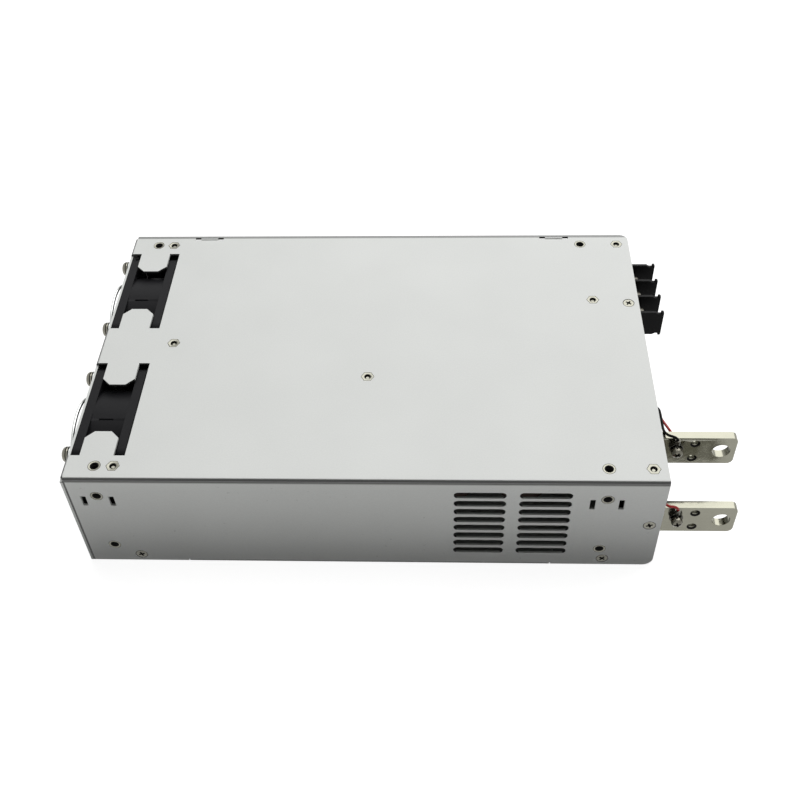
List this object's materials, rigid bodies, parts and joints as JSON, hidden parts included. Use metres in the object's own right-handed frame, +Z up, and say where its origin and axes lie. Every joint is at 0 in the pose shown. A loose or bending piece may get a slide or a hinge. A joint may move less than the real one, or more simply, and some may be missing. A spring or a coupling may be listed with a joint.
{
  "type": "switching_power_supply",
  "caption": "Low flat metal-cased switching power supply with two fans at one end and, at the other, a barrier terminal block and two upright output bars with sense leads.",
  "frame": {"origin": "centre of the plain cover face on which the unit rests", "axes": "X is the length, from the fan end (-X) to the terminal end (+X); +Y is the back side; +Z points up to the base plate with the mounting holes"},
  "size_m": [0.3216, 0.1778, 0.0635],
  "materials": {
    "sheet_steel": "zinc-coated sheet, even satin grey with a fine grain",
    "plated_steel": "nickel-plated press-in and screw parts, slightly warm",
    "dark_steel": "dark nickel screws and washers with bright edges",
    "guard_wire": "bright plated round wire",
    "nickel_plate": "nickel-plated copper bar, dull with a yellow-green cast",
    "fan_plastic": "black glass-filled fan plastic",
    "block_plastic": "black moulded plastic with a soft sheen",
    "pale_plastic": "off-white nylon",
    "trimmer_blue": "blue moulded plastic",
    "lamp_green": "tinted clear lamp body",
    "black_lead": "black wire insulation",
    "red_lead": "dark red wire insulation",
    "board_laminate": "green coated laminate",
    "clear_film": "thin pale insulating film",
    "can_sleeve": "dark shrink sleeve",
    "copper_winding": "enamelled copper wire",
    "heatsink_metal": "bare extruded aluminium",
    "ferrite": "dark grey ferrite",
    "winding_tape": "yellow winding tape",
    "ceramic_body": "white ceramic tube"
  },
  "bodies": {
    "housing": {"chassis": "sheet_steel", "cover": "sheet_steel", "terminal_panel": "sheet_steel", "base_mounting_nuts": "plated_steel", "front_side_nuts": "plated_steel", "back_side_nuts": "plated_steel", "cover_screws": "plated_steel", "panel_screws": "plated_steel", "fan_frame_near": "fan_plastic", "fan_frame_far": "fan_plastic", "fan_spider_near": "fan_plastic", "fan_spider_far": "fan_plastic", "fan_stator_near": "copper_winding", "fan_stator_far": "copper_winding", "finger_guard_near": "guard_wire", "finger_guard_far": "guard_wire", "fan_screws": "dark_steel", "board_standoffs": "plated_steel", "board_screws": "plated_steel", "main_board": "board_laminate", "insulation_film": "clear_film", "terminal_block": "block_plastic", "terminal_clamps": "plated_steel", "terminal_screws": "plated_steel", "output_bar_front": "nickel_plate", "output_bar_rear": "nickel_plate", "bar_bushes": "block_plastic", "sense_lugs": "plated_steel", "sense_washers": "dark_steel", "sense_screws": "dark_steel", "sense_lead_black": "black_lead", "sense_lead_red": "red_lead", "signal_board": "board_laminate", "signal_header": "pale_plastic", "signal_plug": "pale_plastic", "status_lamp": "lamp_green", "trimmer_base": "trimmer_blue", "bulk_capacitors": "can_sleeve", "power_factor_chokes": "copper_winding", "line_chokes": "copper_winding", "output_chokes": "copper_winding", "film_capacitors": "trimmer_blue", "input_fuse": "ceramic_body", "inrush_relay": "block_plastic", "heatsink_input": "heatsink_metal", "heatsink_inverter": "heatsink_metal", "heatsink_output": "heatsink_metal", "devices_input": "block_plastic", "devices_inverter": "block_plastic", "devices_output": "block_plastic", "transformer_cores": "ferrite", "transformer_windings": "winding_tape", "output_capacitors": "can_sleeve", "control_board": "board_laminate"},
    "near_fan": {"fan_rotor_near": "fan_plastic"},
    "far_fan": {"fan_rotor_far": "fan_plastic"},
    "trimmer": {"voltage_trimmer": "pale_plastic"}
  },
  "joints": [
    {"name": "near_fan_axle", "type": "hinge", "parent": "housing", "child": "near_fan", "pos_m": [-0.125, -0.0434, 0.03175], "axis": [1, 0, 0], "continuous": true},
    {"name": "far_fan_axle", "type": "hinge", "parent": "housing", "child": "far_fan", "pos_m": [-0.125, 0.0434, 0.03175], "axis": [1, 0, 0], "continuous": true},
    {"name": "trimmer_turn", "type": "hinge", "parent": "housing", "child": "trimmer", "pos_m": [0.135, 0.002, 0.0455], "axis": [1, 0, 0], "range_deg": [-135, 135]}
  ]
}
